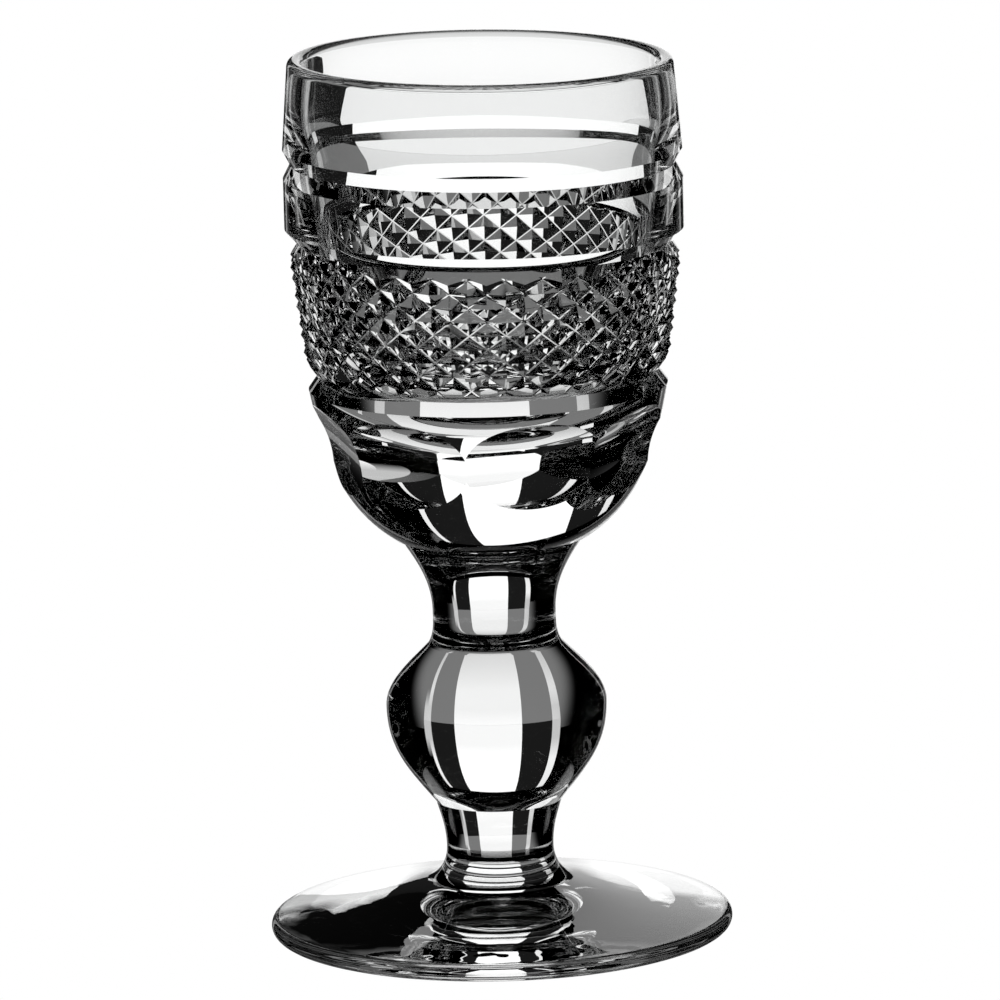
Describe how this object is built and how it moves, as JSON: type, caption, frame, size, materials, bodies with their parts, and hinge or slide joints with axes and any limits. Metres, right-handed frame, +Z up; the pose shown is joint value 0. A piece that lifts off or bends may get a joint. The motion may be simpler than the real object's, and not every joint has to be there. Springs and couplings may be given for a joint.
{
  "type": "liqueur glass",
  "caption": "Stemmed liqueur glass in clear cut crystal: bucket bowl with mitre grooves, a diamond band and oval cuts, on a short knopped stem and a round foot.",
  "frame": {"origin": "middle of the foot's underside, on the table that the glass stands on", "axes": "+Z up along the axis of the glass, from the foot to the rim; -Y towards the viewer in the picture"},
  "size_m": [0.0498, 0.0498, 0.095],
  "materials": {
    "bowl_crystal": "clear crystal, cut and polished bright",
    "collar_crystal": "clear crystal, fire polished",
    "knop_crystal": "clear crystal, fire polished",
    "shank_crystal": "clear crystal, fire polished",
    "foot_crystal": "clear crystal, fire polished above, ground and polished below"
  },
  "bodies": {
    "root": {"bowl": "bowl_crystal", "collar": "collar_crystal", "knop": "knop_crystal", "shank": "shank_crystal", "foot": "foot_crystal"}
  },
  "joints": []
}
